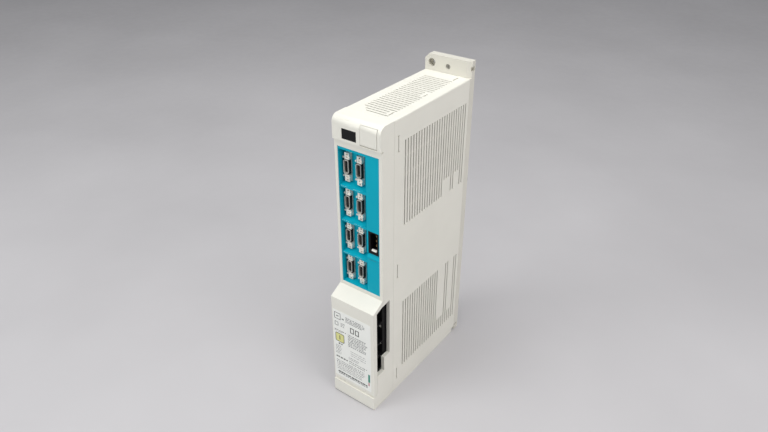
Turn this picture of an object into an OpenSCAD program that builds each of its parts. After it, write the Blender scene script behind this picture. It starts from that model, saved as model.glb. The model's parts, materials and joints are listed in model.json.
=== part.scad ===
// Two-axis servo drive in a narrow wall-mounted case.
// Frame: +X right, -Y front, +Z up. Origin at the centre of the footprint, on the bottom face.

/* [Case] */
// Width of the case
case_w = 60; // [60:1:66]
// Height of the case, without the mounting flange
case_h = 361; // [355:1:380]
// Height of the mounting flange above the case
flange_h = 19; // [18:1:26]
// Depth from the chin to the mounting face
total_d = 192; // [186:1:210]
// Wall thickness of the plastic case
wall = 2.5; // [2:0.5:3]

/* [Front] */
// How far the terminal cover stands in front of the connector frame
cover_step = 17.5; // [15:0.5:22]
// Height of the chin under the terminal cover
chin_h = 20; // [18:1:24]
// Height of the cover's upper front edge
cover_top_h = 146; // [140:1:150]
// Height of the display cap at the top of the front
cap_h = 25.5; // [24:0.5:28]
// How far the cap stands in front of the connector frame
cap_step = 2.5; // [1.5:0.5:4]

/* [Vents] */
// Distance between neighbouring vent slots
vent_pitch = 4.9; // [4.5:0.1:5.2]
// Width of a vent slot
vent_slot = 2; // [1.4:0.2:2.6]
// Number of slots across a side vent
vent_count = 25; // [20:1:25]

/* [Connectors] */
// Rows of signal connectors
io_rows = 4; // [4:1:4]
// Distance between connector rows
io_pitch = 41.8; // [40:0.2:41.8]

/* [Mounting] */
// Radius of the mounting screw hole
mount_r = 3; // [2.5:0.25:3.5]
// Distance of the mounting holes from the top and the bottom edge
mount_edge = 10; // [9:1:12]
// Distance of the mounting holes from the middle of the case
mount_x = -21; // [-22:1:-18]

/* [Hidden] */
$fn = 48;

// Colours
ivory = [0.88, 0.87, 0.83];
teal = [0.02, 0.55, 0.62];
black = [0.06, 0.06, 0.07];
metal = [0.75, 0.75, 0.76];
copper = [0.72, 0.45, 0.3];
board_green = [0.05, 0.3, 0.16];

// Planes, front to back
half_w = case_w / 2;
inner_w = half_w - wall;
chin_y = -total_d / 2;
face_y = chin_y + cover_step + 1.5;
cover_y = face_y - cover_step;
cap_y = face_y - cap_step;
seam_y = face_y + 20;
seam_gap = 0.2;
back_y = total_d / 2;
plate_t = 3;
plate_y = back_y - plate_t;
shell_back_y = plate_y - 6.5;
total_h = case_h + flange_h;
gap = 0.2;

// Cap and setting door
cap_z = case_h - cap_h;
cap_r = 8;
round_z = case_h - cap_r;
door_x0 = 4.7;
door_x1 = 25.9;
door_z0 = cap_z + 1;
door_barrel_r = 2;
door_pin_r = 0.9;
door_pin_y = cap_y + door_barrel_r;
door_pin_z = door_z0 + door_barrel_r;
door_t = 2.2;
door_arc = 38;
window_x0 = -18;
window_x1 = 0.3;
window_z0 = case_h - 22.8;
window_z1 = case_h - 11.5;

// Terminal cover and the side openings beside the terminals
cover_t = 2.2;
cover_back_y = cover_y + 6.5;
cover_pin_y = cover_y + 2;
cover_pin_z = chin_h + 2.25;
cover_barrel_r = 2;
cover_pin_r = 0.9;
cover_slope_z = cover_top_h + 9;
knuckle_x = 16.5;
knuckle_w = 3;
opening_y = face_y + 13;
opening_top_z = cover_slope_z - 6.5;
opening_step_z = 70;
opening_low_y = face_y + 2.3;
opening_low_z = 50;
lip_x = half_w - 4.5;
run_gap = 0.05;

// Connector panel
panel_x0 = -26.5;
panel_x1 = 26;
panel_z0 = 159;
panel_z1 = case_h - 33.5;
panel_y = face_y + 0.6;
pocket_x1 = 9;
floor_y = face_y + 10;
floor_t = 1.6;
shelf_z0 = 284;
io_x = [-20.2, -4];
io_z0 = 302.8;
io_hole_w = 9.4;
io_hole_h = 33;
brake_x0 = 10.8;
brake_x1 = 24.6;
brake_z0 = 211.6;
brake_z1 = 239.4;

// Inside
bulkhead_y = seam_y - wall;
board_t = 1.6;
sink_y0 = 38;
sink_base = 6;
sink_y1 = plate_y;
sink_z0 = 45;
sink_z1 = 330;
sink_half_w = 26;
power_y = 14;
fan_y = 63;
fan_z = wall;
fan_t = 15;
fan_side = 50;
fan_r = 23.5;
post_x = 22;
post_z = [84, 312];
motor_z = 3;
motor_top_z = 28;

// ---------- helpers ----------

module block(x0, x1, y0, y1, z0, z1)
  translate([x0, y0, z0]) cube([x1 - x0, y1 - y0, z1 - z0]);

// Extrudes a (y, z) outline along X
module along_x(x0, x1)
  translate([x0, 0, 0]) rotate([90, 0, 90]) linear_extrude(x1 - x0) children();

// Extrudes an (x, z) outline along Y
module along_y(y0, y1)
  translate([0, y1, 0]) rotate([90, 0, 0]) linear_extrude(y1 - y0) children();

module rod_x(x0, x1, y, z, r)
  translate([x0, y, z]) rotate([0, 90, 0]) cylinder(r = r, h = x1 - x0);

module rod_y(y0, y1, x, z, r)
  translate([x, y0, z]) rotate([-90, 0, 0]) cylinder(r = r, h = y1 - y0);

module both_sides() {
  children();
  mirror([1, 0, 0]) children();
}

module round_rect(w, h, r) {
  square([w - 2 * r, h], center = true);
  square([w, h - 2 * r], center = true);
  for (i = [-1, 1], j = [-1, 1]) translate([i * (w / 2 - r), j * (h / 2 - r)]) circle(r);
}

// Pan head screw that points to +Y, its head in front of y
module screw_y(x, y, z, head_r, head_h, shank_r, shank_l) {
  difference() {
    rod_y(y - head_h, y, x, z, head_r);
    for (a = [0, 90])
      translate([x, y - head_h, z]) rotate([0, a, 0])
        cube([head_r * 1.2, head_h, head_r * 0.22], center = true);
  }
  rod_y(y, y + shank_l, x, z, shank_r);
}

// ---------- chassis ----------

module flange_outline() {
  corner = 5.5;
  polygon([
    [-half_w, case_h], [half_w, case_h], [half_w, total_h],
    [-half_w + corner, total_h], [-half_w, total_h - corner]
  ]);
}

sink_screws = [for (x = [-20, 20], z = [110, 290]) [x, z]];
flange_screw_x = 0.5;
flange_screw_z = total_h - 11;

// Hook slot in the right edge of the flange
module hook_slot()
  block(half_w - 4, half_w + 1, plate_y - 4, plate_y + 1.5, total_h - 11.5, total_h - 6.5);

module chassis_plate() {
  return_t = 1.5;
  return_z0 = 8.4;
  foot = 3.8;
  foot_h = 6.2;
  color(ivory) difference() {
    union() {
      along_y(plate_y, back_y) {
        translate([-half_w, 0]) square([case_w, case_h]);
        flange_outline();
      }
      both_sides() {
        block(half_w - return_t, half_w, shell_back_y, plate_y, return_z0, case_h);
        block(half_w - foot, half_w, shell_back_y + 0.5, plate_y, 0, foot_h);
      }
      block(-half_w, half_w, shell_back_y, plate_y, case_h - return_t, case_h);
    }
    rod_y(plate_y - 1, back_y + 1, mount_x, total_h - mount_edge, mount_r);
    rod_y(plate_y - 1, back_y + 1, mount_x, mount_edge, mount_r);
    block(mount_x - mount_r, mount_x + mount_r, plate_y - 1, back_y + 1, -1, mount_edge);
    rod_y(plate_y - 1, back_y + 1, flange_screw_x, flange_screw_z, 1.5);
    for (p = sink_screws) {
      rod_y(plate_y - 1, back_y + 1, p[0], p[1], 2.1);
      rod_y(back_y - 2, back_y + 1, p[0], p[1], 4);
    }
    hook_slot();
  }
}

module flange_block() {
  side_chamfer = 6;
  color(ivory) difference() {
    along_y(shell_back_y, plate_y) flange_outline();
    rod_y(shell_back_y - 1, plate_y + 1, mount_x, total_h - mount_edge, 4.7);
    rod_y(shell_back_y - 1, plate_y + 1, flange_screw_x, flange_screw_z, 1.6);
    rod_y(shell_back_y - 1, shell_back_y + 2.5, flange_screw_x, flange_screw_z, 3);
    translate([half_w, shell_back_y, case_h - 1])
      linear_extrude(flange_h + 2)
        polygon([[-side_chamfer, -1], [1, -1], [1, 3.2], [0, 3.2], [-side_chamfer, 0]]);
    hook_slot();
  }
}

module flange_screw()
  color(metal) screw_y(flange_screw_x, shell_back_y + 2.5, flange_screw_z, 2.7, 1.6, 1.45, 6.5);

module chassis_screws()
  color(metal) for (p = sink_screws)
    mirror([0, 1, 0]) screw_y(p[0], -(back_y - 2), p[1], 3.7, 1.8, 1.9, 9);

// ---------- case panels ----------

// Side vents: columns of slots in rows, with the bridges between the rows set back from the face
vent_y0 = seam_y + 19.5;
vent_rows = 5;
vent_row_h = 18.9;
vent_bridge = 1.5;
vent_row_pitch = vent_row_h + vent_bridge;
bridge_depth = 1.2;

// Columns in front of the ribs inside, which are open for a part of their height only
function ribbed(i) = (i >= 16 && i <= 18) || i == 21 || i == 22;

// First and last open row of a column
function open_rows(i, low_only) = !ribbed(i) ? [0, vent_rows - 1] : low_only ? [0, 0] : [1, vent_rows - 1];

module side_vent(z0, low_only)
  for (i = [0:vent_count - 1]) {
    rows = open_rows(i, low_only);
    translate([0, vent_y0 + i * vent_pitch, z0]) {
      for (row = [rows[0]:rows[1]])
        translate([inner_w - 1, -vent_slot / 2, row * vent_row_pitch])
          cube([wall + 2, vent_slot, vent_row_h]);
      translate([half_w - bridge_depth, -vent_slot / 2, rows[0] * vent_row_pitch])
        cube([wall, vent_slot, (rows[1] - rows[0]) * vent_row_pitch + vent_row_h]);
    }
  }

// Wall with a short return at the top, as an (x, z) outline
module side_outline() {
  edge_r = 1.5;
  return_w = 8;
  translate([inner_w, 0]) square([wall, case_h - edge_r]);
  translate([half_w - return_w, case_h - wall]) square([return_w - edge_r, wall]);
  translate([half_w - edge_r, case_h - edge_r]) intersection() {
    circle(edge_r);
    square(edge_r);
  }
}

// I-shaped slot through which a latch shows
module latch_slot(y, z) {
  block(inner_w - 1, half_w + 1, y - 0.6, y + 0.6, z, z + 18);
  for (end_z = [z, z + 17.2])
    block(inner_w - 1, half_w + 1, y - 1.6, y + 1.6, end_z, end_z + 0.8);
}

module right_panel() {
  corner = 5.5;
  color(ivory) difference() {
    along_y(seam_y + seam_gap, shell_back_y - seam_gap) side_outline();
    side_vent(29.5, true);
    side_vent(234, false);
    for (z = [16, 170, 325]) latch_slot(seam_y + 7.6, z);
    block(inner_w - 1, half_w + 1, shell_back_y - corner, shell_back_y, -1, corner);
  }
}

module left_panel() mirror([1, 0, 0]) right_panel();

module top_panel() {
  top_w = half_w - 8;
  row_y0 = seam_y + 5;
  latch = [[8, 9.5], [69, 8], [128, 11]];
  color(ivory) difference() {
    block(-top_w, top_w, seam_y + seam_gap, shell_back_y, case_h - wall, case_h);
    for (i = [0:24]) {
      y = row_y0 + i * vent_pitch;
      latches_near = [for (l = latch) if (abs(y - seam_y - l[0] - l[1] / 2) < l[1] / 2 + 2) l];
      x0 = i == 0 ? -9 : i == 1 ? -13 : -18;
      x1 = len(latches_near) > 0 ? 12.5 : 18.5;
      block(x0, x1, y, y + vent_slot, case_h - wall - 1, case_h + 1);
    }
    for (l = latch)
      block(16.4, 17.8, seam_y + l[0], seam_y + l[0] + l[1], case_h - wall - 1, case_h + 1);
  }
}

module bottom_panel() {
  slots = 9;
  color(ivory) difference() {
    block(-inner_w, inner_w, seam_y, shell_back_y, 0, wall);
    for (i = [0:slots - 1])
      block(-22, 22, 42 + i * vent_pitch, 42 + i * vent_pitch + vent_slot, -1, wall + 1);
  }
}

// ---------- front bezel ----------

// Side wall of the bezel as a (y, z) outline, open beside the terminals
module bezel_side_outline() {
  chin_r = 3;
  polygon([
    [seam_y, 0], [seam_y, case_h], [cap_y + cap_r, case_h],
    [cap_y + cap_r, round_z], [cap_y, round_z], [cap_y, cap_z],
    [face_y, cap_z], [face_y, opening_top_z - 1.5], [opening_y, opening_top_z],
    [opening_y, opening_step_z], [opening_low_y, opening_step_z], [opening_low_y, opening_low_z],
    [cover_back_y + gap, opening_low_z], [cover_back_y + gap, cover_pin_z - gap],
    [cover_pin_y + cover_barrel_r + gap, cover_pin_z - gap], [cover_pin_y + cover_barrel_r + gap, chin_h],
    [chin_y, chin_h], [chin_y, chin_r], [chin_y + chin_r, chin_r], [chin_y + chin_r, 0]
  ]);
  translate([cap_y + cap_r, round_z]) intersection() {
    circle(cap_r);
    translate([-cap_r, 0]) square(cap_r);
  }
  translate([chin_y + chin_r, chin_r]) intersection() {
    circle(chin_r);
    translate([-chin_r, -chin_r]) square(chin_r);
  }
}

// Front and top wall of the cap as a (y, z) outline
module cap_wall_outline() {
  translate([cap_y, cap_z]) square([wall, round_z - cap_z]);
  translate([cap_y + cap_r, case_h - wall]) square([seam_y - cap_y - cap_r, wall]);
  translate([cap_y + cap_r, round_z]) intersection() {
    difference() {
      circle(cap_r);
      circle(cap_r - wall);
    }
    translate([-cap_r, 0]) square(cap_r);
  }
}

// Chin and bottom wall of the bezel as a (y, z) outline
module chin_outline() {
  translate([chin_y, 3]) square([wall, chin_h - 3]);
  translate([chin_y, chin_h - wall]) square([cover_back_y - chin_y, wall]);
  translate([chin_y + 3, 0]) square([seam_y - chin_y - 3, wall]);
  translate([chin_y + 3, 3]) intersection() {
    circle(3);
    translate([-3, -3]) square(3);
  }
}

module opening_lips() {
  t = 2.5;
  block(lip_x, inner_w, opening_y, opening_y + t, opening_step_z - t, opening_top_z + 2);
  block(lip_x, inner_w, opening_low_y, opening_y + t, opening_step_z - t, opening_step_z);
  block(lip_x, inner_w, opening_low_y, opening_low_y + t, opening_low_z - t, opening_step_z - t);
  block(lip_x, inner_w, cover_back_y + gap, opening_low_y + t, opening_low_z - t, opening_low_z);
}

module door_ear(x0, x1)
  block(x0, x1, cap_y + 0.5, door_pin_y + door_barrel_r, door_z0, door_pin_z + door_barrel_r);

// Sector of the cap's rounding that the setting door follows, as a (y, z) outline
module door_arc_outline(r0, r1, arc)
  translate([cap_y + cap_r, round_z]) intersection() {
    difference() {
      circle(r1);
      circle(r0);
    }
    polygon([[0, 0], [-2 * cap_r, 0], [-2 * cap_r * cos(arc), 2 * cap_r * sin(arc)]]);
  }

module cover_knuckle(x) {
  rod_x(x, x + knuckle_w, cover_pin_y, cover_pin_z, cover_barrel_r);
  block(x, x + knuckle_w, cover_pin_y - cover_barrel_r, cover_pin_y + cover_barrel_r, chin_h, cover_pin_z);
}

module front_bezel() {
  shelf_t = 2.5;
  frame_back_y = face_y + wall;
  color(ivory) difference() {
    union() {
      both_sides() {
        along_x(inner_w, half_w) bezel_side_outline();
        opening_lips();
        cover_knuckle(knuckle_x);
      }
      along_x(-inner_w, inner_w) {
        cap_wall_outline();
        chin_outline();
      }
      block(-inner_w, inner_w, face_y, frame_back_y, cover_slope_z - shelf_t, cap_z + wall);
      block(-inner_w, inner_w, face_y, seam_y, cover_slope_z - shelf_t, cover_slope_z);
      block(-inner_w, inner_w, bulkhead_y, seam_y, wall, cover_slope_z);
      door_ear(door_x0 - 1.8, door_x0 - 0.1);
      door_ear(door_x1 + 0.1, inner_w);
    }
    // connector panel aperture, display window and door aperture
    block(panel_x0, panel_x1, face_y - 1, frame_back_y + 1, panel_z0, panel_z1);
    block(window_x0, window_x1, cap_y - 1, cap_y + wall + 1, window_z0, window_z1);
    block(door_x0, door_x1, cap_y - 1, cap_y + wall + 1, door_z0 - 0.3, round_z);
    along_x(door_x0, door_x1) door_arc_outline(cap_r - wall - 1, cap_r + 1, door_arc + 2);
    rod_x(door_x0, door_x1, door_pin_y, door_pin_z, door_barrel_r + 0.3);
    rod_x(door_x0 - 1.9, inner_w, door_pin_y, door_pin_z, door_pin_r + run_gap);
    // cover hinge bores
    rod_x(-half_w + 1, half_w - 1, cover_pin_y, cover_pin_z, cover_pin_r + run_gap);
    // cable way for the motor connectors
    block(-22.5, 22.5, cover_back_y, bulkhead_y, -1, wall + 1);
    // mould groove on the cap's rounding, and a notch under its right corner
    rod_x(-25.6, -9.4, cap_y + cap_r - cap_r * cos(40), round_z + cap_r * sin(40), 0.3);
    block(half_w - 1.2, half_w + 1, face_y - 0.1, face_y + 2, cap_z - 1.6, cap_z);
  }
}

// ---------- moving covers ----------

module cover_outline() {
  top_y = face_y - gap;
  polygon([
    [cover_pin_y, cover_pin_z], [cover_pin_y - cover_barrel_r, cover_pin_z],
    [cover_y, cover_top_h], [top_y, cover_slope_z], [top_y, opening_top_z - 1.5 + gap],
    [cover_back_y, cover_top_h - 2.5], [cover_back_y, cover_pin_z]
  ]);
  translate([cover_pin_y, cover_pin_z]) circle(cover_barrel_r);
}

module cover_wall_outline() {
  top_y = face_y - gap;
  translate([cover_y, cover_pin_z]) square([cover_t, cover_top_h - cover_pin_z]);
  polygon([
    [cover_y, cover_top_h], [top_y, cover_slope_z], [top_y, cover_slope_z - cover_t],
    [cover_y + cover_t, cover_top_h - cover_t * 0.55], [cover_y, cover_top_h - cover_t]
  ]);
  translate([cover_pin_y, cover_pin_z]) circle(cover_barrel_r);
}

module terminal_cover() {
  k = knuckle_x - 0.2;
  kw = knuckle_w + 0.4;
  color(ivory) union() {
    difference() {
      union() {
        along_x(-inner_w, inner_w) cover_wall_outline();
        both_sides() along_x(inner_w, half_w) cover_outline();
      }
      both_sides()
        block(k, k + kw, cover_y - 1, cover_pin_y + cover_barrel_r + 1,
          chin_h, cover_pin_z + cover_barrel_r + 0.4);
    }
    // hinge pins, one through each knuckle
    both_sides() rod_x(k - 0.6, k + kw + 0.6, cover_pin_y, cover_pin_z, cover_pin_r);
  }
}

module cover_label() {
  color([0.93, 0.93, 0.92])
    block(-28.6, 25.8, cover_y - 0.15, cover_y, 27, 129);
}

module setting_door() {
  finger_gap = 0.6;
  x0 = door_x0 + gap;
  x1 = door_x1 - finger_gap;
  color(ivory) {
    along_x(x0, x1) {
      translate([cap_y, door_pin_z]) square([door_t, round_z - door_pin_z]);
      translate([door_pin_y, door_pin_z]) circle(door_barrel_r);
      door_arc_outline(cap_r - door_t, cap_r, door_arc);
    }
    rod_x(x0 - 1.6, x0, door_pin_y, door_pin_z, door_pin_r);
    rod_x(x1, x1 + finger_gap + 1.2, door_pin_y, door_pin_z, door_pin_r);
  }
}

// ---------- display and settings ----------

display_y = cap_y + 12;

module display_lens()
  color([0.03, 0.03, 0.04])
    block(window_x0 + 0.1, window_x1 - 0.1, cap_y + 0.2, cap_y + 2, window_z0 + 0.1, window_z1 - 0.1);

module display_board()
  color(board_green)
    block(-inner_w, inner_w, display_y, display_y + board_t, cap_z + 2, case_h - 4);

module display_module() {
  mid_x = (window_x0 + window_x1) / 2;
  mid_z = (window_z0 + window_z1) / 2;
  color(black) difference() {
    block(window_x0 + 0.5, window_x1 - 0.5, cap_y + 3, display_y, window_z0, window_z1);
    for (digit = [-1, 1], bar = [-1, 0, 1])
      translate([mid_x + digit * 4.6, 0, mid_z + bar * 3.2])
        block(-1.6, 1.6, cap_y + 2, cap_y + 3.3, -0.3, 0.3);
  }
}

dial_x = 10.2;
setting_z = cap_z + 10.5;
dial_front_y = display_y - 5;

module rotary_switch()
  color([0.12, 0.2, 0.5]) difference() {
    block(dial_x - 5, dial_x + 5, display_y - 3.4, display_y, setting_z - 5, setting_z + 5);
    rod_y(display_y - 4, display_y - 1.2, dial_x, setting_z, 1.5 + run_gap);
  }

module rotary_dial()
  color([0.9, 0.9, 0.88]) {
    difference() {
      rod_y(dial_front_y, display_y - 3.5, dial_x, setting_z, 3.6);
      block(dial_x - 2.6, dial_x + 2.6, dial_front_y - 1, dial_front_y + 0.7,
        setting_z - 0.45, setting_z + 0.45);
    }
    rod_y(display_y - 3.5, display_y - 1.3, dial_x, setting_z, 1.5);
  }

dip_x = [19.2, 22.4];
dip_travel = 1.8;
dip_lever = 1.4;

module dip_switch()
  color([0.6, 0.08, 0.08]) difference() {
    block(17, 24.6, display_y - 3.4, display_y, setting_z - 4, setting_z + 4);
    for (x = dip_x)
      block(x - dip_lever / 2 - 0.1, x + dip_lever / 2 + 0.1, display_y - 4, display_y - 1.4,
        setting_z - 1.7, setting_z - 1.7 + dip_lever + dip_travel + 0.2);
  }

module dip_lever(x)
  color([0.92, 0.92, 0.9])
    block(x - dip_lever / 2, x + dip_lever / 2, display_y - 4.4, display_y - 1.5,
      setting_z - 1.6, setting_z - 1.6 + dip_lever);

// ---------- connector panel ----------

function io_z(row) = io_z0 - row * io_pitch;
function shelf_z(row) = shelf_z0 - row * io_pitch;

module shelf(z)
  along_x(panel_x0 + 0.5, pocket_x1 - 0.5)
    polygon([[floor_y, z + 1], [panel_y + 1.2, z - 1], [panel_y + 1.2, z - 4], [floor_y, z - 4]]);

module connector_panel() {
  x0 = panel_x0 + 0.1;
  x1 = panel_x1 - 0.1;
  z0 = panel_z0 + 0.1;
  z1 = panel_z1 - 0.1;
  rim_y = face_y + wall;
  t = 1.4;
  color(teal) difference() {
    union() {
      block(x0, x1, panel_y, rim_y, z0, z1);
      block(-inner_w + 0.2, inner_w - 0.2, rim_y, rim_y + 1.5, z0 - 2.5, z1 + 2.5);
      block(x0 - 0.9, pocket_x1 + t, rim_y + 1.5, floor_y + floor_t, z0, z1);
      block(pocket_x1 + 0.4, x1, panel_y - 0.7, panel_y + 0.5, brake_z0 - 6.1, brake_z0);
    }
    difference() {
      block(x0 + 0.6, pocket_x1, panel_y - 1, floor_y, z0 + 0.6, z1 - 3);
      for (row = [0:io_rows - 2]) shelf(shelf_z(row));
      along_x(x0, pocket_x1)
        polygon([
          [panel_y - 1, z0], [panel_y - 1, z0 + 0.6], [panel_y, z0 + 0.6],
          [floor_y, z0 + 1.4], [floor_y, z0]
        ]);
    }
    for (x = io_x, row = [0:io_rows - 1])
      block(x - io_hole_w / 2, x + io_hole_w / 2, floor_y - 1, floor_y + floor_t + 1,
        io_z(row) - io_hole_h / 2, io_z(row) + io_hole_h / 2);
    block(brake_x0 - 0.1, brake_x1 + 0.1, panel_y - 1, floor_y, brake_z0 - 0.1, brake_z1 + 0.1);
    // slanted land under the brake connector
    along_x(pocket_x1 + 0.4, x1 + 0.1)
      polygon([
        [panel_y - 2, brake_z0], [panel_y + 1.6, brake_z0],
        [panel_y - 0.7, brake_z0 - 5.5], [panel_y - 2, brake_z0 - 5.5]
      ]);
  }
}

shell_w = 6.2;
shell_h = 15.4;

// Metal shell with a latch bracket and a spring pin at each end
module io_shell(n) {
  x = io_x[n % 2];
  z = io_z(floor(n / 2));
  sheet = 0.35;
  tip_y = floor_y - 5.1;
  bracket_y = floor_y - 4.6;
  arm_y = floor_y - 2.2;
  back = floor_y + 2.6;
  color(metal) translate([x, 0, z]) {
    difference() {
      along_y(tip_y, back) round_rect(shell_w, shell_h, 2);
      along_y(tip_y - 1, back + 1) round_rect(shell_w - 2 * sheet, shell_h - 2 * sheet, 1.6);
    }
    for (s = [-1, 1]) {
      difference() {
        block(-1.8, 4.2, bracket_y, back, s * 12.55 - 3.75, s * 12.55 + 3.75);
        block(0.7, 2.8, bracket_y - 1, floor_y - 1.5, s * 14.7 - 0.9, s * 14.7 + 0.9);
        block(0.3, 5, bracket_y - 1, bracket_y + 1.1, s * 11.3 - 0.7, s * 11.3 + 0.7);
      }
      block(-4.2, -2.5, floor_y - 4.6, arm_y + 1, s * 10.6 - 0.9, s * 10.6 + 0.9);
      block(-2.5, -1.8, arm_y, arm_y + 1, s * 10.6 - 0.6, s * 10.6 + 0.6);
    }
    block(4.05, 4.55, floor_y - 1, floor_y + 1, -16.3, 16.3);
  }
}

// Moulding that carries the shell, with the contact tongue in the middle
module io_insert(n) {
  x = io_x[n % 2];
  z = io_z(floor(n / 2));
  back = floor_y + 2.6;
  color(black) translate([x, 0, z]) {
    difference() {
      along_y(floor_y - 4, back) round_rect(shell_w + 1.8, shell_h + 1.8, 2);
      along_y(floor_y - 6, back + 1) round_rect(shell_w + 0.1, shell_h + 0.1, 2.05);
    }
    along_y(floor_y + 0.5, back) round_rect(shell_w - 1.1, shell_h - 1.1, 1.55);
    block(-0.9, 0.9, floor_y - 4.3, floor_y + 0.5, -6.1, 6.1);
    block(-4.6, 4.2, back, floor_y + 11, -15.5, 15.5);
  }
}

module brake_connector() {
  rim = 2.6;
  color(black) difference() {
    block(brake_x0, brake_x1, panel_y + 0.2, floor_y + 6, brake_z0, brake_z1);
    block(brake_x0 + rim, brake_x1 - rim, panel_y - 1, floor_y + 3, brake_z0 + 3.4, brake_z1 - rim);
    block(brake_x0 + 4.5, brake_x1 - 4.5, panel_y - 1, floor_y + 3, brake_z0 + 1.6, brake_z1 - 1.4);
  }
}

module brake_contacts()
  color(metal) for (k = [-1, 0, 1])
    block(16.9, 18.5, floor_y - 4, floor_y + 3, 226 + k * 6 - 1.2, 226 + k * 6 + 1.2);

// ---------- power terminals ----------

term_z = [132, 104, 80, 61];
term_walls = [146, 118, 90, 70.4, 52];
term_half_w = 24.5;
term_face_y = opening_y - 6.5;
term_wall_y = term_face_y - 10;

module terminal_block()
  color(black) difference() {
    union() {
      block(-term_half_w, term_half_w, term_face_y, bulkhead_y, 51, 147);
      for (z = term_walls)
        block(-term_half_w, term_half_w, term_wall_y, term_face_y, z - 1, z + 1);
      block(-term_half_w, -term_half_w + 2, term_wall_y + 3, term_face_y, 51, 147);
    }
    for (z = term_z) rod_y(term_face_y - 1, term_face_y + 8, 0, z, 3);
  }

module term_plate(z, w, h, r)
  difference() {
    block(-w / 2, w / 2, term_face_y - 1.5, term_face_y, z - h / 2, z + h / 2);
    rod_y(term_face_y - 2, term_face_y + 1, 0, z, r);
  }

module dc_terminal_plates()
  color(copper) for (i = [0, 1]) term_plate(term_z[i], 26, 20, 3.1);

module control_terminal_plates()
  color(metal) for (i = [2, 3]) term_plate(term_z[i], 20, 13, 2.2);

module terminal_screws()
  color(metal) for (i = [0:3]) {
    big = i < 2;
    screw_y(0, term_face_y - 1.5, term_z[i], big ? 5.5 : 4, big ? 4 : 3, big ? 2.9 : 2, 8);
  }

module charge_lamp()
  color([0.8, 0.08, 0.05]) {
    rod_y(bulkhead_y - 6, bulkhead_y, 19, 44, 1.5);
    translate([19, bulkhead_y - 6, 44]) sphere(r = 1.5);
  }

motor_cells = [for (x = [-14, 0, 14], y = [-82, -70]) [x, y]];

module motor_connector()
  color(black) difference() {
    block(-22, 22, cover_back_y + 0.5, bulkhead_y, motor_z, motor_top_z);
    for (c = motor_cells)
      block(c[0] - 5.5, c[0] + 5.5, c[1] - 4.4, c[1] + 4.4, motor_z - 1, motor_top_z - 8);
  }

module motor_contacts()
  color(copper) for (c = motor_cells)
    block(c[0] - 3, c[0] + 3, c[1] - 0.5, c[1] + 0.5, motor_top_z - 12, motor_top_z - 8);

module earth_plate()
  color(metal) difference() {
    block(-17, 12, bulkhead_y - 1.5, bulkhead_y, 34, 47);
    for (x = [-11, 5]) rod_y(bulkhead_y - 2, bulkhead_y + 1, x, 40.5, 2.1);
  }

module earth_screws()
  color(metal) for (x = [-11, 5])
    screw_y(x, bulkhead_y - 1.5, 40.5, 4, 2.8, 2, 1.5);

// ---------- cooling ----------

module heat_sink() {
  fins = 9;
  fin_t = 1.6;
  fin_half_w = sink_half_w - 4;
  pitch = (2 * fin_half_w - fin_t) / (fins - 1);
  color(metal) difference() {
    union() {
      block(-sink_half_w, sink_half_w, sink_y0, sink_y0 + sink_base, sink_z0, sink_z1);
      for (i = [0:fins - 1])
        translate([-fin_half_w + i * pitch, sink_y0 + sink_base, sink_z0])
          cube([fin_t, sink_y1 - 10 - sink_y0 - sink_base, sink_z1 - sink_z0]);
      for (p = sink_screws) rod_y(sink_y0 + sink_base, sink_y1, p[0], p[1], 5);
    }
    for (p = sink_screws) rod_y(sink_y1 - 10, sink_y1 + 1, p[0], p[1], 2);
  }
}

module fan_frame() {
  spider_t = 2.5;
  color(black) translate([0, fan_y, fan_z]) difference() {
    union() {
      linear_extrude(fan_t) difference() {
        square(fan_side, center = true);
        circle(fan_r);
        for (i = [-1, 1], j = [-1, 1]) translate([i * 20.5, j * 20.5]) circle(1.9);
      }
      for (a = [0, 90]) rotate([0, 0, a])
        translate([0, 0, spider_t / 2]) cube([2 * fan_r + 1, 3, spider_t], center = true);
      cylinder(r = 9, h = spider_t);
      cylinder(r = 3, h = 6);
    }
    translate([0, 0, 1]) cylinder(r = 1.05, h = 6);
  }
}

module fan_rotor() {
  blades = 7;
  hub_r = 10;
  hub_z = fan_z + 3.2;
  color([0.1, 0.1, 0.11]) translate([0, fan_y, 0]) {
    difference() {
      translate([0, 0, hub_z]) cylinder(r = hub_r, h = fan_t - 4);
      translate([0, 0, hub_z - 1]) cylinder(r = hub_r - 1.5, h = fan_t - 5);
    }
    translate([0, 0, fan_z + 1.2]) cylinder(r = 1, h = fan_t - 3.5);
    intersection() {
      translate([0, 0, hub_z]) difference() {
        cylinder(r = fan_r - 1, h = fan_t - 4.4);
        translate([0, 0, -1]) cylinder(r = hub_r - 0.6, h = fan_t);
      }
      for (i = [0:blades - 1]) rotate([0, 0, i * 360 / blades])
        translate([16, 0, hub_z + 5.2]) rotate([38, 0, 0]) cube([16, 15, 1.2], center = true);
    }
  }
}

// ---------- power electronics ----------

module power_module(z)
  color(black) difference() {
    block(-24, 24, sink_y0 - 14, sink_y0, z, z + 72);
    for (k = [4, 68]) rod_y(sink_y0 - 15, sink_y0 + 1, 0, z + k, 2.2);
  }

module power_board()
  color(board_green) difference() {
    block(-25, 25, power_y, power_y + board_t, 72, 322);
    for (x = [-post_x, post_x], z = post_z) rod_y(power_y - 1, power_y + 3, x, z, 1.6);
  }

module board_standoffs()
  color([0.8, 0.68, 0.35]) for (x = [-post_x, post_x], z = post_z)
    difference() {
      rod_y(power_y + board_t, sink_y0, x, z, 3);
      rod_y(power_y, power_y + 10, x, z, 1.5);
    }

module board_screws()
  color(metal) for (x = [-post_x, post_x], z = post_z)
    screw_y(x, power_y, z, 2.8, 2, 1.45, 8);

module dc_capacitors()
  color([0.08, 0.09, 0.14]) for (x = [-11.8, 11.8], z = [286, 261])
    rod_y(power_y - 42, power_y, x, z, 11);

module inrush_relay()
  color([0.9, 0.9, 0.86]) block(2, 20, power_y - 20, power_y, 190, 218);

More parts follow.
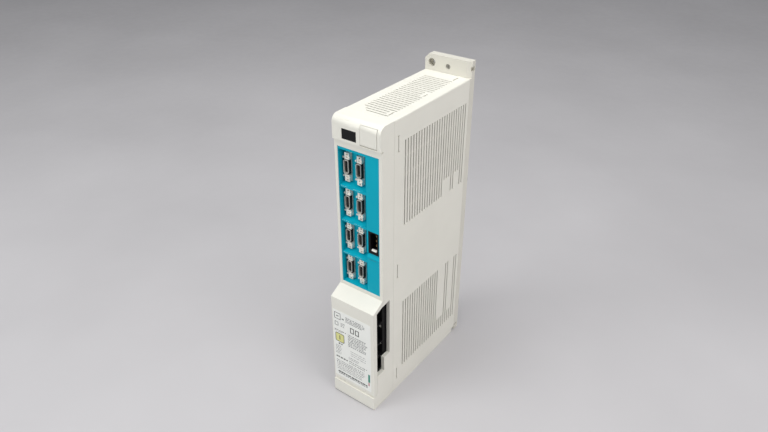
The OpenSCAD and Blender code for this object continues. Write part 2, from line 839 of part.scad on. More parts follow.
module control_board()
  color(board_green) block(io_x[0] - 4.6 - board_t, io_x[0] - 4.6, floor_y + 2.6, 10, 162, 326);

module interface_board()
  color(board_green) block(io_x[1] - 4.6 - board_t, io_x[1] - 4.6, floor_y + 2.6, power_y - 44, 162, 326);

// ---------- assembly ----------

chassis_plate();
flange_block();
flange_screw();
chassis_screws();
right_panel();
left_panel();
top_panel();
bottom_panel();
front_bezel();
terminal_cover();
cover_label();
setting_door();
display_lens();
display_board();
display_module();
rotary_switch();
rotary_dial();
dip_switch();
dip_lever(dip_x[0]);  // dip_lever_1
dip_lever(dip_x[1]);  // dip_lever_2
connector_panel();
for (n = [0:2 * io_rows - 1]) {
  io_shell(n);
  io_insert(n);
}
brake_connector();
brake_contacts();
terminal_block();
dc_terminal_plates();
control_terminal_plates();
terminal_screws();
charge_lamp();
motor_connector();
motor_contacts();
earth_plate();
earth_screws();
heat_sink();
fan_frame();
fan_rotor();
power_module(96);  // power_module_1
power_module(182);  // power_module_2
power_board();
board_standoffs();
board_screws();
dc_capacitors();
inrush_relay();
control_board();
interface_board();
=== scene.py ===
"""Looks of the servo drive: materials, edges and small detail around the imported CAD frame."""

import json
import math
import random

import bmesh
import bpy
from mathutils import Matrix, Vector


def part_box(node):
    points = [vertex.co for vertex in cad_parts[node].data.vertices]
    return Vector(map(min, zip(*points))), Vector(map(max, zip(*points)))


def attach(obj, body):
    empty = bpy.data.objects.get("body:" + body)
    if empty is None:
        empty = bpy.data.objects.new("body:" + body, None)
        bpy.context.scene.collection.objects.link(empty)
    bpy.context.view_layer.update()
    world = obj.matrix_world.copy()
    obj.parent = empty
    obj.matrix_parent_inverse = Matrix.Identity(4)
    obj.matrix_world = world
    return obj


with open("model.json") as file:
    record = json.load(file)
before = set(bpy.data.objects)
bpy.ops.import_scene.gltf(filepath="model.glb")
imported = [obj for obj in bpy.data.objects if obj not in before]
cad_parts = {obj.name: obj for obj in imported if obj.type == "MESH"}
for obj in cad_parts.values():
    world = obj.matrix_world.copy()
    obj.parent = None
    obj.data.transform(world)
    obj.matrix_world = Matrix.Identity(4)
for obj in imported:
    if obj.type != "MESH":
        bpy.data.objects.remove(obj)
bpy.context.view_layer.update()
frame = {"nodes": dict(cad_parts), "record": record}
nodes = frame["nodes"]
MM = 0.001

# ---------------------------------------------------------------- node helpers


def srgb(hex_colour):
    """Linear colour of a screen colour written as six hex digits."""
    parts = [int(hex_colour[i : i + 2], 16) / 255 for i in (0, 2, 4)]
    return [c / 12.92 if c <= 0.04045 else ((c + 0.055) / 1.055) ** 2.4 for c in parts]


def shade(colour, factor):
    """A linear colour made lighter or darker by a factor."""
    return [min(1.0, c * factor) for c in colour]


class Shader:
    """A Principled material under construction. Patterns follow object coordinates, in metres."""

    def __init__(self, name):
        self.material = bpy.data.materials.new(name)
        self.material.use_nodes = True
        self.tree = self.material.node_tree
        self.bsdf = next(n for n in self.tree.nodes if n.type == "BSDF_PRINCIPLED")
        self.coords = self.node("ShaderNodeTexCoord").outputs["Object"]

    def node(self, kind, **inputs):
        """A new node. Each keyword is an input's name, with _ for a space."""
        made = self.tree.nodes.new(kind)
        for key, value in inputs.items():
            self.set(made.inputs[key.replace("_", " ")], value)
        return made

    def set(self, socket, value):
        """Links a socket to an output, or gives it a plain value."""
        if isinstance(value, bpy.types.NodeSocket):
            self.tree.links.new(value, socket)
        else:
            socket.default_value = value

    def fixed(self, **inputs):
        """Values that are the same all over, set on the shader's own sockets."""
        for key, value in inputs.items():
            self.bsdf.inputs[key.replace("_", " ")].default_value = value

    def stretched(self, scale):
        """Object coordinates scaled by a vector, for grain that runs one way."""
        mapping = self.node("ShaderNodeMapping")
        mapping.inputs["Scale"].default_value = scale
        self.tree.links.new(self.coords, mapping.inputs["Vector"])
        return mapping.outputs["Vector"]

    def noise(self, scale, detail=3.0, roughness=0.5, vector=None):
        made = self.node("ShaderNodeTexNoise", Scale=scale, Detail=detail, Roughness=roughness)
        self.set(made.inputs["Vector"], vector or self.coords)
        return made.outputs["Fac"]

    def cells(self, scale):
        """Distance to the nearest of many scattered points."""
        made = self.node("ShaderNodeTexVoronoi", Scale=scale, Vector=self.coords)
        return made.outputs["Distance"]

    def ramp(self, value, low, high, start=0.3, end=0.7):
        """A colour that goes from low to high as value goes from start to end."""
        made = self.node("ShaderNodeValToRGB", Fac=value)
        stops = made.color_ramp.elements
        stops[0].position, stops[0].color = start, (*low, 1)
        stops[1].position, stops[1].color = end, (*high, 1)
        return made.outputs["Color"]

    def span(self, value, low, high, start=0.3, end=0.7):
        """A number that goes from low to high as value goes from start to end."""
        made = self.node("ShaderNodeMapRange", Value=value)
        for key, number in (("From Min", start), ("From Max", end), ("To Min", low), ("To Max", high)):
            made.inputs[key].default_value = number
        return made.outputs["Result"]

    def mixed(self, factor, a, b):
        """Colour between a and b, each of which is an output or a linear colour."""
        made = self.tree.nodes.new("ShaderNodeMix")
        made.data_type = "RGBA"
        self.set(made.inputs["Factor"], factor)
        self.set(made.inputs["A"], a if isinstance(a, bpy.types.NodeSocket) else (*a, 1))
        self.set(made.inputs["B"], b if isinstance(b, bpy.types.NodeSocket) else (*b, 1))
        return made.outputs["Result"]

    def bump(self, height, strength, depth, normal=None):
        """A bump of that depth in metres, on top of an earlier one if given."""
        made = self.node("ShaderNodeBump", Strength=strength, Distance=depth, Height=height)
        if normal is not None:
            self.set(made.inputs["Normal"], normal)
        return made.outputs["Normal"]

    def finish(self, colour, rough, normal):
        self.set(self.bsdf.inputs["Base Color"], colour)
        self.set(self.bsdf.inputs["Roughness"], rough)
        self.set(self.bsdf.inputs["Normal"], normal)
        return self.material


# ---------------------------------------------------------------- materials


def moulded(name, colour, rough=0.48, contrast=0.05, specular=0.45):
    """Injection-moulded plastic: spark-eroded grain, faint flow mottling, uneven sheen."""
    s = Shader(name)
    s.fixed(Specular_IOR_Level=specular)
    flow = s.noise(scale=22, detail=4, roughness=0.55)
    grain = s.noise(scale=2600, detail=2, roughness=0.6)
    base = s.ramp(flow, shade(colour, 1 - contrast), shade(colour, 1 + contrast * 0.6))
    tinted = s.mixed(s.span(grain, low=0.0, high=0.35), base, shade(colour, 0.9))
    sheen = s.span(s.noise(scale=70), low=rough - 0.06, high=rough + 0.08)
    waves = s.bump(s.noise(scale=160, detail=2), strength=0.25, depth=0.00005)
    return s.finish(tinted, sheen, s.bump(grain, strength=0.35, depth=0.00006, normal=waves))


def powder_coat(name, colour, rough=0.42):
    """Powder-coated sheet steel with a fine orange-peel surface and dark specks."""
    s = Shader(name)
    s.fixed(Specular_IOR_Level=0.5, Coat_Weight=0.15, Coat_Roughness=0.25)
    peel = s.noise(scale=900, detail=2, roughness=0.4)
    drift = s.noise(scale=18)
    base = s.ramp(drift, shade(colour, 0.95), shade(colour, 1.02))
    speck = s.span(s.cells(scale=1500), low=0.0, high=0.25, start=0.0, end=0.12)
    dark = s.span(speck, low=0.25, high=0.0, start=0.0, end=0.25)
    tinted = s.mixed(dark, base, shade(colour, 0.82))
    sheen = s.span(s.noise(scale=55), low=rough - 0.07, high=rough + 0.07)
    return s.finish(tinted, sheen, s.bump(peel, strength=0.5, depth=0.00008))


def metal(name, colour, rough=0.28, grain=(1, 1, 1), metallic=1.0):
    """Plated or brushed metal, its grain drawn out along the axis with the small factor."""
    s = Shader(name)
    s.fixed(Metallic=metallic)
    lines = s.noise(scale=1400, detail=4, roughness=0.6, vector=s.stretched(grain))
    stain = s.noise(scale=120, detail=4, roughness=0.6)
    base = s.ramp(stain, shade(colour, 0.82), shade(colour, 1.05), start=0.35, end=0.7)
    tinted = s.mixed(s.span(lines, low=0.0, high=0.4), base, shade(colour, 0.75))
    sheen = s.span(s.noise(scale=260), low=rough - 0.08, high=rough + 0.14)
    return s.finish(tinted, sheen, s.bump(lines, strength=0.4, depth=0.00003))


def circuit(name):
    """Solder mask over copper tracks, with tinned pads."""
    s = Shader(name)
    s.fixed(Coat_Weight=0.3, Coat_Roughness=0.2)
    mask, track, tin = srgb("0c4a2c"), srgb("1b6b3c"), srgb("b9b7a6")
    tracks = s.node("ShaderNodeTexBrick", Scale=90.0, Mortar_Size=0.06, Brick_Width=0.9, Row_Height=0.16)
    s.set(tracks.inputs["Vector"], s.coords)
    for key, colour in (("Color1", mask), ("Color2", shade(mask, 1.25)), ("Mortar", track)):
        s.set(tracks.inputs[key], (*colour, 1))
    pads = s.span(s.cells(scale=300), low=1.0, high=0.0, start=0.12, end=0.16)
    silver = s.mixed(pads, tracks.outputs["Color"], tin)
    sheen = s.span(s.noise(scale=200), low=0.3, high=0.5)
    return s.finish(silver, sheen, s.bump(tracks.outputs["Fac"], strength=0.4, depth=0.00005))


def gloss(name, colour, rough=0.12, specular=0.5):
    """Polished plastic with faint wipe marks and a little dust."""
    s = Shader(name)
    s.fixed(Specular_IOR_Level=specular)
    smear = s.noise(scale=90, detail=4, roughness=0.6, vector=s.stretched((1.0, 1.0, 0.25)))
    dust = s.span(s.cells(scale=900), low=0.12, high=0.0, start=0.0, end=0.06)
    clean = s.ramp(smear, colour, shade(colour, 1.5))
    base = s.mixed(dust, clean, srgb("8a8c90"))
    sheen = s.span(smear, low=rough, high=rough + 0.12)
    return s.finish(base, sheen, s.bump(smear, strength=0.1, depth=0.00002))


def film(name, colour, rough=0.38):
    """Printed label film or ink: slight lift and cloudiness."""
    s = Shader(name)
    s.fixed(Specular_IOR_Level=0.5)
    cloud = s.noise(scale=60, detail=4)
    base = s.ramp(cloud, shade(colour, 0.97), colour)
    sheen = s.span(s.noise(scale=130), low=rough - 0.06, high=rough + 0.08)
    lift = s.noise(scale=35, detail=2)
    return s.finish(base, sheen, s.bump(lift, strength=0.2, depth=0.0002))


IVORY = srgb("e7e5dc")

# Material of each slot in the record
LOOKS = {
    "case_plastic": moulded("case_plastic", IVORY, rough=0.5, contrast=0.03, specular=0.35),
    "chassis_paint": powder_coat("chassis_paint", srgb("d8d5cb")),
    "label_film": film("label_film", srgb("f0f1ed")),
    "display_window": gloss("display_window", srgb("08080a"), rough=0.2, specular=0.2),
    "circuit_board": circuit("circuit_board"),
    "black_plastic": moulded("black_plastic", srgb("0c0c0e"), rough=0.5, contrast=0.15, specular=0.18),
    "connector_black": moulded("connector_black", srgb("0d0c0e"), rough=0.45, contrast=0.15, specular=0.25),
    "blue_plastic": moulded("blue_plastic", srgb("24509c")),
    "red_plastic": moulded("red_plastic", srgb("a8201c")),
    "white_plastic": moulded("white_plastic", srgb("eeede6"), rough=0.4, contrast=0.03),
    "teal_plastic": moulded("teal_plastic", srgb("00a8c0"), rough=0.5, contrast=0.06, specular=0.12),
    "shell_nickel": metal("shell_nickel", srgb("f8f5ec"), rough=0.3, grain=(1, 1, 0.2), metallic=0.35),
    "screw_steel": metal("screw_steel", srgb("a6a49f"), rough=0.3),
    "contact_brass": metal("contact_brass", srgb("9c8458"), rough=0.32),
    "plate_steel": metal("plate_steel", srgb("cfcdc8"), rough=0.3, grain=(0.1, 1, 1)),
    "lamp_red": gloss("lamp_red", srgb("c01812")),
    "sink_aluminium": metal("sink_aluminium", srgb("a5a8ab"), rough=0.4, grain=(1, 1, 0.02)),
    "capacitor_sleeve": gloss("capacitor_sleeve", srgb("141a30"), rough=0.2),
}

# Printing inks: name, colour and roughness
INKS = {
    name: film(name, srgb(colour), rough)
    for name, colour, rough in (
        ("dark_ink", "38383a", 0.5),
        ("grey_ink", "7c7c7e", 0.5),
        ("amber_ink", "dedc92", 0.45),
        ("green_ink", "0f8570", 0.45),
        ("white_ink", "d8f0f2", 0.5),
        ("pale_teal_ink", "7fd4de", 0.5),
        ("dark_teal_ink", "0b7d92", 0.5),
        ("rose_ink", "c8949c", 0.5),
    )
}
TINNED = metal("tinned_contact", srgb("4a4843"), rough=0.4)
CHIP_BLACK = moulded("chip_black", srgb("1a1a1c"), rough=0.4, contrast=0.2)
COPPER_WIRE = metal("copper_wire", srgb("b4703c"), rough=0.3)

# ---------------------------------------------------------------- finish of the CAD nodes

WELD_GAP = 2e-6  # metres between points that become one
FLAT_ANGLE = 0.5  # degrees within which faces count as flat
SHARP_ANGLE = 30  # degrees from which an edge is rounded
BEVEL_SEGMENTS = 2

# Bevel width in millimetres of each slot's edges
EDGE = {
    "case_plastic": 0.4,
    "chassis_paint": 0.3,
    "label_film": 0.0,
    "display_window": 0.15,
    "circuit_board": 0.0,
    "black_plastic": 0.3,
    "connector_black": 0.15,
    "teal_plastic": 0.25,
    "shell_nickel": 0.12,
    "screw_steel": 0.2,
    "contact_brass": 0.1,
    "white_plastic": 0.12,
    "sink_aluminium": 0.3,
}
OTHER_EDGE = 0.15  # the same, for slots not listed


def round_edges(obj, width_mm):
    """Rounds the hard edges."""
    bevel = obj.modifiers.new("edges", "BEVEL")
    bevel.width = width_mm * MM
    bevel.segments = BEVEL_SEGMENTS
    bevel.limit_method = "ANGLE"
    bevel.angle_limit = math.radians(SHARP_ANGLE)
    bevel.harden_normals = True


def soften(obj, width_mm):
    """Joins the CAD triangles into flat faces, then rounds the hard edges."""
    weld = obj.modifiers.new("weld", "WELD")
    weld.merge_threshold = WELD_GAP
    flat = obj.modifiers.new("flat", "DECIMATE")
    flat.decimate_type = "DISSOLVE"
    flat.angle_limit = math.radians(FLAT_ANGLE)
    if width_mm:
        round_edges(obj, width_mm)


def dress(obj, material):
    """Gives an object one material in place of those it has."""
    obj.data.materials.clear()
    obj.data.materials.append(material)


for part in frame["record"]["subparts"]:
    slot = part["material_slot"]
    dress(nodes[part["node"]], LOOKS[slot])
    soften(nodes[part["node"]], EDGE.get(slot, OTHER_EDGE))

# ---------------------------------------------------------------- mesh helpers, all in millimetres

PRINT_T = 0.03  # how far print stands proud of its face, and reaches into it
ARC_STEPS = 4  # straight steps in each rounded corner


def corners(node):
    """Lowest and highest corner of a CAD node."""
    low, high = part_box(node)
    return low / MM, high / MM


def rounded(x0, x1, z0, z1, radius):
    """Outline of a rectangle with rounded corners."""
    turns = (
        (x1 - radius, z1 - radius, 0),
        (x0 + radius, z1 - radius, 90),
        (x0 + radius, z0 + radius, 180),
        (x1 - radius, z0 + radius, 270),
    )
    outline = []
    for cx, cz, start in turns:
        for k in range(ARC_STEPS + 1):
            angle = math.radians(start + 90 * k / ARC_STEPS)
            outline.append((cx + radius * math.cos(angle), cz + radius * math.sin(angle)))
    return outline


class Piece:
    """Closed shapes gathered into one mesh."""

    def __init__(self, name):
        self.name = name
        self.mesh = bmesh.new()

    def block(self, x0, x1, y0, y1, z0, z1):
        """Box between two places along each axis, given in either order."""
        size = Matrix.Diagonal((abs(x1 - x0), abs(y1 - y0), abs(z1 - z0), 1))
        place = Matrix.Translation(((x0 + x1) / 2, (y0 + y1) / 2, (z0 + z1) / 2))
        bmesh.ops.create_cube(self.mesh, size=1, matrix=place @ size)

    def mark(self, y, x0, x1, z0, z1, lift=1):
        """Bar of print on a face at y that looks forward. More lift puts it over other print."""
        self.block(x0, x1, y - lift * PRINT_T, y + PRINT_T, z0, z1)

    def rod(self, start, end, radius, end_radius=None, sides=28):
        """Cylinder from start to end, or a cone if the end has its own radius."""
        start, end = Vector(start), Vector(end)
        turn = (end - start).to_track_quat("Z", "Y").to_matrix().to_4x4()
        bmesh.ops.create_cone(
            self.mesh,
            cap_ends=True,
            segments=sides,
            radius1=radius,
            radius2=radius if end_radius is None else end_radius,
            depth=(end - start).length,
            matrix=Matrix.Translation((start + end) / 2) @ turn,
        )

    def prism(self, outline, low, high, axis="y"):
        """Solid with an outline across the x or y axis, from low to high along it."""

        def place(u, v, along):
            return (along, u, v) if axis == "x" else (u, along, v)

        near = [self.mesh.verts.new(place(u, v, low)) for u, v in outline]
        far = [self.mesh.verts.new(place(u, v, high)) for u, v in outline]
        self.mesh.faces.new(near)
        self.mesh.faces.new(far[::-1])
        for i in range(len(outline)):
            j = (i + 1) % len(outline)
            self.mesh.faces.new((near[j], near[i], far[i], far[j]))

    def done(self, material, body, slot, edge=0.0):
        """Turns the shapes into an object that rides on a body, its edges rounded if edge is given."""
        bmesh.ops.recalc_face_normals(self.mesh, faces=self.mesh.faces)
        bmesh.ops.scale(self.mesh, vec=(MM, MM, MM), verts=self.mesh.verts)
        data = bpy.data.meshes.new(self.name)
        self.mesh.to_mesh(data)
        self.mesh.free()
        obj = bpy.data.objects.new(self.name, data)
        bpy.context.collection.objects.link(obj)
        data.materials.append(material)
        if edge:
            round_edges(obj, edge)
        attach(obj, body)


# ---------------------------------------------------------------- print on the cover's label

SHORTEST_DASH = 0.8
LONGEST_DASH = 4.5
DASH_GAPS = (0.5, 0.7, 1.3)
LINE_FILL = (0.82, 1.0)  # least and most of a paragraph's width that a line runs across


class LabelPrint(Piece):
    """Print of one ink. Places on the label are measured from its lower left corner."""

    def __init__(self, name, rng):
        super().__init__(name)
        low, _ = corners("cover_label")
        self.left, self.face, self.bottom = low
        self.rng = rng

    def bar(self, x0, x1, z0, z1, lift=1):
        """One plain bar."""
        self.mark(self.face, self.left + x0, self.left + x1, self.bottom + z0, self.bottom + z1, lift)

    def patch(self, x0, x1, z0, z1, radius, lift=1):
        """One plain patch with rounded corners."""
        shape = rounded(self.left + x0, self.left + x1, self.bottom + z0, self.bottom + z1, radius)
        self.prism(shape, self.face - lift * PRINT_T, self.face + PRINT_T)

    def frame(self, x0, x1, z0, z1, line):
        """A plain rectangular frame."""
        self.bar(x0, x1, z1 - line, z1)
        self.bar(x0, x1, z0, z0 + line)
        self.bar(x0, x0 + line, z0 + line, z1 - line)
        self.bar(x1 - line, x1, z0 + line, z1 - line)

    def row(self, x0, x1, top, height, longest=LONGEST_DASH):
        """One line of small print: dashes with gaps, from x0 to about x1."""
        x = x0
        while x < x1 - SHORTEST_DASH:
            length = min(self.rng.uniform(SHORTEST_DASH, longest), x1 - x)
            self.bar(x, x + length, top - height, top)
            x += length + self.rng.choice(DASH_GAPS)

    def paragraph(self, x0, x1, top, rows, pitch, height, longest=LONGEST_DASH):
        """Lines of small print under each other, with ragged right ends."""
        for n in range(rows):
            end = x0 + (x1 - x0) * self.rng.uniform(*LINE_FILL)
            self.row(x0, end, top - n * pitch, height, longest)


def label_head(dark, fine):
    """A plain square frame with a bar in it, and lines of print beside it."""
    dark.frame(2.2, 11.4, 89.4, 98.6, line=0.7)
    dark.bar(5.0, 8.6, 93.4, 94.6)
    dark.bar(13.2, 16.2, 91.4, 93.0)
    fine.paragraph(18.8, 46.8, top=97.4, rows=4, pitch=2.1, height=1.0)


def label_middle(dark, fine):
    """A small frame with print in the left column, and two plain frames over a paragraph."""
    dark.frame(2.6, 7.6, 79.4, 85.0, line=0.6)
    fine.paragraph(11.2, 18.4, top=85.4, rows=3, pitch=2.3, height=0.9, longest=2.6)
    dark.row(1.8, 18.6, top=73.2, height=0.9, longest=3.0)
    fine.row(1.8, 14.6, top=71.4, height=0.8, longest=3.0)
    for x in (25.2, 32.4):
        dark.frame(x, x + 5.4, 77.4, 85.4, line=1.1)
    fine.paragraph(21.6, 50.4, top=73.4, rows=8, pitch=2.4, height=1.15, longest=3.6)


def label_amber_block(dark, amber):
    """A plain amber block with a dark rim and bar, and two small bars under it."""
    dark.patch(2.6, 15.8, 55.4, 68.6, radius=2.0)
    amber.patch(3.5, 14.9, 56.3, 67.7, radius=1.5, lift=2)
    dark.bar(8.6, 9.8, 59.0, 65.4, lift=3)
    dark.bar(7.0, 9.4, 51.6, 53.8)
    dark.bar(10.6, 12.8, 52.0, 53.4)


def label_foot(dark, fine, wide):
    """Short paragraphs, then a heading and the lines under it, across the label's width."""
    fine.paragraph(2.4, 11.6, top=49.0, rows=6, pitch=2.4, height=0.8, longest=2.6)
    fine.paragraph(24.6, 49.2, top=49.0, rows=3, pitch=3.2, height=0.6, longest=6.0)
    fine.paragraph(21.6, 36.6, top=38.4, rows=2, pitch=2.3, height=0.8, longest=3.0)
    dark.row(2.6, 21.0, top=32.0, height=1.9, longest=3.4)
    dark.paragraph(22.0, wide - 4.0, top=32.6, rows=2, pitch=2.9, height=0.9, longest=2.8)
    fine.paragraph(2.8, wide - 6.0, top=25.8, rows=3, pitch=2.6, height=1.1, longest=2.2)
    dark.paragraph(3.4, wide - 6.4, top=17.6, rows=1, pitch=2.6, height=0.8, longest=1.6)
    fine.paragraph(3.4, wide - 6.4, top=15.0, rows=2, pitch=2.6, height=1.0, longest=1.6)
    dark.row(4.4, wide - 5.4, top=8.2, height=2.1, longest=4.2)
    fine.row(5.0, wide - 5.4, top=5.2, height=1.2, longest=4.2)


def label_print():
    """Generic marks in place of the label's print: dashes, plain frames and bars."""
    rng = random.Random(11)
    low, high = corners("cover_label")
    wide = high.x - low.x
    dark = LabelPrint("label_dark_print", rng)
    fine = LabelPrint("label_fine_print", rng)
    amber = LabelPrint("label_amber_block", rng)
    green = LabelPrint("label_green_bar", rng)
    rose = LabelPrint("label_rose_bar", rng)
    label_head(dark, fine)
    label_middle(dark, fine)
    label_amber_block(dark, amber)
    label_foot(dark, fine, wide)
    green.bar(wide - 4.3, wide - 1.6, 14.4, 27.0)
    rose.bar(wide - 4.3, wide - 2.2, 8.8, 13.8)
    for piece, ink, slot in (
        (dark, "dark_ink", "black_plastic"),
        (fine, "grey_ink", "black_plastic"),
        (amber, "amber_ink", "label_film"),
        (green, "green_ink", "teal_plastic"),
        (rose, "rose_ink", "label_film"),
    ):
        piece.done(INKS[ink], "terminal_cover", slot)


# ---------------------------------------------------------------- inside of the terminal cover


def cover_ribs():
    """Stiffening ribs and two snap hooks moulded on the cover's inside."""
    low, high = corners("terminal_cover")
    inside = low.y + 2.2
    root = inside - 0.3
    hook_z = high.z - 22
    ribs = Piece("cover_ribs")
    for x in (-17.0, 0.0, 17.0):
        ribs.block(x - 0.6, x + 0.6, root, inside + 1.6, low.z + 10, high.z - 16)
    for z in (60.0, 100.0):
        ribs.block(-26.0, 26.0, root, inside + 1.2, z - 0.6, z + 0.6)
    for x in (-20.0, 20.0):
        ribs.block(x - 3, x + 3, root, inside + 5, hook_z, hook_z + 1.4)
        ribs.block(x - 3, x + 3, inside + 4, inside + 5, hook_z + 1.4, hook_z + 2.4)
    ribs.done(LOOKS["case_plastic"], "terminal_cover", "case_plastic", edge=0.2)


# ---------------------------------------------------------------- connector panel

CONNECTORS = 8
CONNECTORS_OVER_SHELVES = 6


def signal_contacts():
    """Ten contact strips on each side of every connector's tongue."""
    count, pitch = 10, 1.16
    tongue_x = 4.6  # from the insert's left side to the middle of its tongue
    for n in range(1, CONNECTORS + 1):
        low, high = corners("io_insert_%d" % n)
        x, middle = low.x + tongue_x, (low.z + high.z) / 2
        strips = Piece("signal_contacts_%d" % n)
        for k in range(count):
            z = middle + (k - (count - 1) / 2) * pitch
            for side in (-1, 1):
                near, far = x + side * 0.85, x + side * 1.05
                strips.block(near, far, low.y + 0.4, low.y + 5.0, z - 0.3, z + 0.3)
        strips.done(TINNED, "drive_case", "contact_brass")


def panel_print():
    """Small plain marks on the shelves between the connectors and under the brake socket."""
    rng = random.Random(5)
    panel, _ = corners("connector_panel")
    shelf_face, socket_face = panel.y + 1.9, panel.y + 0.7
    shelf_drop = 21.3  # from a connector's middle down to the marks on the shelf below it
    pale = Piece("panel_pale_marks")
    dark = Piece("panel_dark_marks")
    for n in range(1, CONNECTORS_OVER_SHELVES + 1):
        low, high = corners("io_insert_%d" % n)
        z = (low.z + high.z) / 2 - shelf_drop
        for k in range(4):
            start = low.x + 2.4 * k
            pale.mark(shelf_face, start, start + rng.uniform(0.9, 1.9), z, z + 0.7)
            start += 0.6
            dark.mark(shelf_face, start, start + rng.uniform(0.6, 1.4), z - 1.2, z - 0.6)
    socket, _ = corners("brake_connector")
    for k in range(4):
        start = socket.x + 1.4 + 2.2 * k
        dark.mark(socket_face, start, start + 1.4, socket.z - 8.6, socket.z - 7.8)
    pale.done(INKS["pale_teal_ink"], "drive_case", "white_plastic")
    dark.done(INKS["dark_teal_ink"], "drive_case", "black_plastic")


def brake_tab():
    """Pale locking tab at the bottom of the brake connector's mouth."""
    low, high = corners("brake_connector")
    y, z, inset = low.y, low.z + 3.3, 3.6
    wedge = [(y + 0.5, z), (y + 2.8, z), (y + 2.8, z + 1.9), (y + 1.6, z + 1.9), (y + 0.5, z + 1.0)]
    tab = Piece("brake_lock_tab")
    tab.prism(wedge, low.x + inset, high.x - inset, axis="x")
    tab.done(LOOKS["white_plastic"], "drive_case", "white_plastic", edge=0.15)


# ---------------------------------------------------------------- terminals and settings

# Terminal plates, with the radius of their washers and the height of one plate
WASHERS = (("dc_terminal_plates", 7.2, 20.0), ("control_terminal_plates", 5.2, 13.0))
# Heights of the four terminals, from the top down
TERMINAL_ROWS = (139, 111, 86, 66)


def terminal_washers():
    """Washers under the terminal screws, and the ridges of the plates beside them."""
    washers = Piece("terminal_washers")
    for plate, radius, tall in WASHERS:
        low, high = corners(plate)
        reach = tall / 2 - 1
        for z in (low.z + tall / 2, high.z - tall / 2):
            washers.rod((0, low.y - 0.9, z), (0, low.y, z), radius, sides=40)
            for side in (-1, 1):
                for k in range(5):
                    x = side * (high.x - 1.4 - 0.9 * k)
                    washers.block(x - 0.2, x + 0.2, low.y - 0.25, low.y + 0.05, z - reach, z + reach)
    washers.done(LOOKS["screw_steel"], "drive_case", "screw_steel", edge=0.15)


def terminal_marks():
    """Raised plain bars beside the terminals, one more for each terminal down."""
    _, high = corners("terminal_block")
    front = corners("dc_terminal_plates")[0].y + 1.5
    marks = Piece("terminal_marks")
    for n, z in enumerate(TERMINAL_ROWS):
        for k in range(n + 1):
            x = high.x - 2.5 - 1.5 * k
            marks.block(x - 0.4, x + 0.4, front - 0.12, front + 0.05, z - 1.6, z + 1.6)
    marks.done(LOOKS["white_plastic"], "drive_case", "white_plastic")


def dial_marks():
    """Ten ticks round the rotary switch, and the pointer on its dial."""
    low, high = corners("rotary_switch")
    x, z = (low.x + high.x) / 2, (low.z + high.z) / 2
    near, far, half = 3.9, 4.6, 0.15
    ticks = Piece("switch_ticks")
    for k in range(10):
        angle = math.radians(36 * k + 90)
        out = Vector((math.cos(angle), math.sin(angle)))
        across = Vector((-out.y, out.x)) * half
        points = [out * near + across, out * near - across, out * far - across, out * far + across]
        ticks.prism([(x + p.x, z + p.y) for p in points], low.y - PRINT_T, low.y + PRINT_T)
    ticks.done(INKS["white_ink"], "drive_case", "white_plastic")
    dial, _ = corners("rotary_dial")
    pointer = Piece("dial_pointer")
    arrow = [(x - 0.7, z + 1.6), (x + 0.7, z + 1.6), (x, z + 3.1)]
    pointer.prism(arrow, dial.y - PRINT_T, dial.y + PRINT_T)
    pointer.done(INKS["dark_ink"], "rotary_dial", "black_plastic")


# ---------------------------------------------------------------- what stands on the boards

# Depth and height of the chips on the upright side boards
CHIP_SIZES = ((8, 10), (5, 5), (3, 6), (10, 14), (2, 3.5), (4, 2))
CHIP_GAP = 0.6


def chips_on_side(name, board, side, y_range, z_range, tries, tallest, seed):
    """Chips, small blocks and capacitors on one face of an upright board that faces sideways."""
    rng = random.Random(seed)
    low, high = corners(board)
    face = high.x if side > 0 else low.x
    (y0, y1), (z0, z1) = y_range, z_range
    chips = Piece(name)
    taken = []
    for _ in range(tries):
        depth, height = rng.choice(CHIP_SIZES)
        y, z = rng.uniform(y0, y1 - depth), rng.uniform(z0, z1 - height)
        tall = rng.uniform(0.8, tallest)
        if any(y < b and y + depth > a and z < d and z + height > c for a, b, c, d in taken):
            continue
        taken.append((y - CHIP_GAP, y + depth + CHIP_GAP, z - CHIP_GAP, z + height + CHIP_GAP))
        chips.block(face - side * 0.1, face + side * tall, y, y + depth, z, z + height)
    chips.done(CHIP_BLACK, "drive_case", "black_plastic", edge=0.2)


def power_board_cans():
    """Six filter capacitors on the front of the power board, with chamfered tops."""
    board, _ = corners("power_board")
    y, tall = board.y, 18
    cans = Piece("power_board_cans")
    for x in (-16, 0, 16):
        for z in (88, 112):
            cans.rod((x, y + 0.1, z), (x, y - tall, z), 6.2)
            cans.rod((x, y - tall, z), (x, y - tall - 0.5, z), 5.6, end_radius=4.8)
    cans.done(LOOKS["capacitor_sleeve"], "drive_case", "capacitor_sleeve", edge=0.3)


def power_board_chokes():
    """Two ring chokes, each a ring of fourteen copper bars."""
    board, _ = corners("power_board")
    turns, ring = 14, 7
    chokes = Piece("power_board_chokes")
    for x in (-12, 12):
        for k in range(turns):
            angle = 2 * math.pi * k / turns
            centre = Vector((x + ring * math.cos(angle), board.y - 6, 150 + ring * math.sin(angle)))
            chokes.rod(centre - Vector((0, 5, 0)), centre + Vector((0, 6.1, 0)), 1.2, sides=12)
    chokes.done(COPPER_WIRE, "drive_case", "contact_brass", edge=0.1)


def power_board_small_parts():
    """Small parts on the upper front of the power board, clear of the relay."""
    rng = random.Random(23)
    board, _ = corners("power_board")
    small = Piece("power_board_small_parts")
    for _ in range(60):
        x, z = rng.uniform(-23, 20), rng.uniform(168, 246)
        wide, tall = rng.uniform(1.5, 4), rng.uniform(1.5, 4)
        near_relay = x + wide > 1 and z + tall > 188 and z < 220
        if not near_relay:
            small.block(x, x + wide, board.y - rng.uniform(0.8, 3), board.y + 0.1, z, z + tall)
    small.done(CHIP_BLACK, "drive_case", "black_plastic", edge=0.15)


def arc_points(x, z, radius, angles):
    """Points at those angles on a circle about x and z."""
    return [(x + radius * math.cos(a), z + radius * math.sin(a)) for a in angles]


